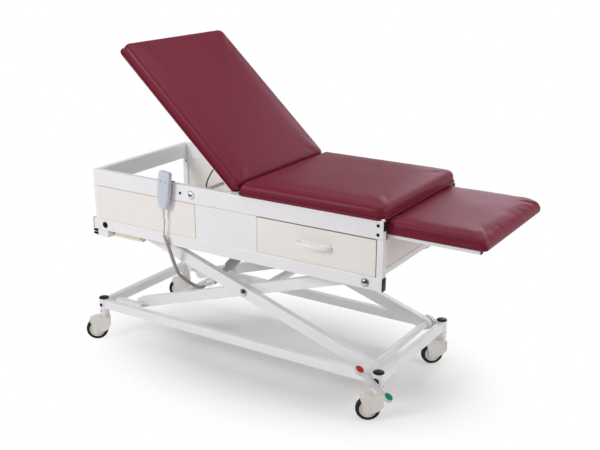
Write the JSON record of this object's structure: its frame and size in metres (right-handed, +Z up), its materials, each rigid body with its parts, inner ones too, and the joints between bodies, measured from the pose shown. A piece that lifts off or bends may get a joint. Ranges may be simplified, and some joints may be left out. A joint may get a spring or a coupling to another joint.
{
  "type": "examination table with drawers",
  "caption": "Height-adjustable examination table on a wheeled scissor lift, with tilting backrest, pull-out leg rest, drawers, corded handset and brake rocker",
  "frame": {"origin": "on the floor under the middle of the table's outline, in the raised position", "axes": "+X to the foot end, +Y to the far side, away from the handset, +Z up"},
  "size_m": [1.8956, 0.7256, 1.3755],
  "materials": {
    "white_paint": "smooth powder coat",
    "cream_laminate": "satin laminate",
    "cream_plastic": "satin moulded plastic",
    "ivory_nylon": "matte nylon",
    "black_plastic": "satin",
    "chrome": "polished",
    "steel": "zinc plated",
    "grey_paint": "satin paint",
    "pedal_grey": "satin",
    "red_plastic": "satin",
    "green_plastic": "satin",
    "dark_tyre": "matte tread, cream hub",
    "burgundy_vinyl": "smooth upholstery vinyl",
    "blue_grey_plastic": "satin",
    "beige_cord": "satin cord sheath"
  },
  "bodies": {
    "base": {"base_rail_near": "white_paint", "base_rail_far": "white_paint", "base_beam_head": "white_paint", "base_beam_foot": "white_paint"},
    "brake": {"brake_bar": "steel", "brake_pedal": "pedal_grey", "pedal_pad_red": "red_plastic", "pedal_pad_green": "green_plastic"},
    "outer_arms": {"outer_arms": "white_paint", "centre_pin_near": "chrome", "centre_pin_far": "chrome"},
    "inner_arms": {"inner_arms": "white_paint"},
    "actuator_body": {"actuator_body": "grey_paint"},
    "actuator_rod": {"actuator_rod": "grey_paint"},
    "upper_frame": {"upper_rail": "white_paint", "side_frame_near": "white_paint", "side_frame_far": "white_paint", "head_cross_tube": "white_paint", "middle_beam": "white_paint", "foot_cross_rail": "white_paint", "panel_near": "cream_laminate", "panel_far": "cream_laminate", "foot_panel": "cream_laminate", "middle_box": "white_paint", "upper_pivot_shaft": "chrome", "rest_bar": "chrome", "slide_guide_near": "ivory_nylon", "slide_guide_far": "ivory_nylon", "seat_board": "white_paint", "seat_pad": "burgundy_vinyl", "handset": "blue_grey_plastic", "handset_hook": "black_plastic", "handset_cord": "beige_cord", "release_cable": "black_plastic"},
    "backrest": {"backrest_board": "white_paint", "backrest_frame": "steel", "backrest_pad": "burgundy_vinyl"},
    "gas_cylinder": {"gas_cylinder": "black_plastic"},
    "gas_rod": {"gas_rod": "chrome"},
    "leg_rest": {"leg_rest_frame": "white_paint", "leg_rest_pad": "burgundy_vinyl", "leg_cap_near": "black_plastic", "leg_cap_far": "black_plastic"},
    "drawer_near": {"drawer_front_near": "cream_laminate", "drawer_handle_near": "white_paint", "drawer_tray_near": "white_paint"},
    "drawer_far": {"drawer_front_far": "cream_laminate", "drawer_handle_far": "white_paint", "drawer_tray_far": "white_paint"},
    "button_up": {"handset_button_up": "pedal_grey"},
    "button_down": {"handset_button_down": "pedal_grey"},
    "swivel_near_head": {"caster_housing_near_head": "cream_plastic"},
    "wheel_near_head": {"wheel_near_head": "dark_tyre"},
    "swivel_far_head": {"caster_housing_far_head": "cream_plastic"},
    "wheel_far_head": {"wheel_far_head": "dark_tyre"},
    "swivel_near_foot": {"caster_housing_near_foot": "cream_plastic"},
    "wheel_near_foot": {"wheel_near_foot": "dark_tyre"},
    "swivel_far_foot": {"caster_housing_far_foot": "cream_plastic"},
    "wheel_far_foot": {"wheel_far_foot": "dark_tyre"}
  },
  "joints": [
    {"name": "lift", "type": "hinge", "parent": "base", "child": "outer_arms", "pos_m": [0.49441, 0, 0.19], "axis": [0, 1, 0], "range_deg": [-11.57, 0], "deforming": ["handset_cord"]},
    {"name": "lift_inner", "type": "hinge", "parent": "outer_arms", "child": "inner_arms", "pos_m": [-0.10708, 0, 0.3805], "axis": [0, 1, 0], "range_deg": [0, 23.16], "deforming": ["handset_cord"]},
    {"name": "lift_top", "type": "hinge", "parent": "inner_arms", "child": "upper_frame", "pos_m": [0.49441, 0, 0.571], "axis": [0, 1, 0], "range_deg": [-11.59, 0], "deforming": ["handset_cord"]},
    {"name": "actuator_upper_eye", "type": "hinge", "parent": "upper_frame", "child": "actuator_body", "pos_m": [-0.13798, 0, 0.615], "axis": [0, 1, 0], "range_deg": [0, 24.2]},
    {"name": "actuator_lower_eye", "type": "hinge", "parent": "inner_arms", "child": "actuator_rod", "pos_m": [-0.46077, 0, 0.26848], "axis": [0, 1, 0], "range_deg": [0, 12.62]},
    {"name": "backrest_tilt", "type": "hinge", "parent": "upper_frame", "child": "backrest", "pos_m": [-0.10859, 0, 0.8275], "axis": [0, 1, 0], "range_deg": [-42.5, 27.5], "deforming": ["release_cable"]},
    {"name": "gas_spring_lower_eye", "type": "hinge", "parent": "upper_frame", "child": "gas_cylinder", "pos_m": [-0.10859, 0.09, 0.6425], "axis": [0, 1, 0], "range_deg": [-21.3, 13.8]},
    {"name": "gas_spring_upper_eye", "type": "hinge", "parent": "backrest", "child": "gas_rod", "pos_m": [-0.26062, 0.09, 0.93291], "axis": [0, 1, 0], "range_deg": [-13.8, 21.3]},
    {"name": "leg_rest_slide", "type": "slide", "parent": "upper_frame", "child": "leg_rest", "axis": [1, 0, 0], "range_m": [-0.37, 0]},
    {"name": "drawer_near_slide", "type": "slide", "parent": "upper_frame", "child": "drawer_near", "axis": [0, -1, 0], "range_m": [0, 0.23]},
    {"name": "drawer_far_slide", "type": "slide", "parent": "upper_frame", "child": "drawer_far", "axis": [0, 1, 0], "range_m": [0, 0.23]},
    {"name": "brake_rocker", "type": "hinge", "parent": "base", "child": "brake", "pos_m": [0.55041, 0, 0.172], "axis": [0, 1, 0], "range_deg": [-66, 0]},
    {"name": "button_up_press", "type": "slide", "parent": "upper_frame", "child": "button_up", "axis": [0, 1, 0], "range_m": [0, 0.0012], "stiffness_N_per_m": 800},
    {"name": "button_down_press", "type": "slide", "parent": "upper_frame", "child": "button_down", "axis": [0, 1, 0], "range_m": [0, 0.0012], "stiffness_N_per_m": 800},
    {"name": "swivel_near_head", "type": "hinge", "parent": "base", "child": "swivel_near_head", "pos_m": [-0.87159, -0.299, 0], "axis": [0, 0, 1], "continuous": true},
    {"name": "roll_near_head", "type": "hinge", "parent": "swivel_near_head", "child": "wheel_near_head", "pos_m": [-0.90153, -0.32239, 0.05], "axis": [-0.6157, 0.788, 0], "continuous": true},
    {"name": "swivel_far_head", "type": "hinge", "parent": "base", "child": "swivel_far_head", "pos_m": [-0.87159, 0.299, 0], "axis": [0, 0, 1], "continuous": true},
    {"name": "roll_far_head", "type": "hinge", "parent": "swivel_far_head", "child": "wheel_far_head", "pos_m": [-0.90309, 0.27775, 0.05], "axis": [-0.5592, 0.829, 0], "continuous": true},
    {"name": "swivel_near_foot", "type": "hinge", "parent": "base", "child": "swivel_near_foot", "pos_m": [0.55041, -0.299, 0], "axis": [0, 0, 1], "continuous": true},
    {"name": "roll_near_foot", "type": "hinge", "parent": "swivel_near_foot", "child": "wheel_near_foot", "pos_m": [0.51784, -0.31857, 0.05], "axis": [-0.515, 0.8572, 0], "continuous": true},
    {"name": "swivel_far_foot", "type": "hinge", "parent": "base", "child": "swivel_far_foot", "pos_m": [0.55041, 0.299, 0], "axis": [0, 0, 1], "continuous": true},
    {"name": "roll_far_foot", "type": "hinge", "parent": "swivel_far_foot", "child": "wheel_far_foot", "pos_m": [0.52218, 0.27357, 0.05], "axis": [-0.6691, 0.7431, 0], "continuous": true}
  ],
  "couplings": [
    {"joint": "lift_inner", "follows": "lift", "ratio": -2},
    {"joint": "lift_top", "follows": "lift", "ratio": 1},
    {"joint": "actuator_upper_eye", "follows": "lift", "ratio": -2.088},
    {"joint": "actuator_lower_eye", "follows": "lift", "ratio": -1.088},
    {"joint": "gas_spring_lower_eye", "follows": "backrest_tilt", "ratio": 0.5},
    {"joint": "gas_spring_upper_eye", "follows": "backrest_tilt", "ratio": -0.5}
  ]
}
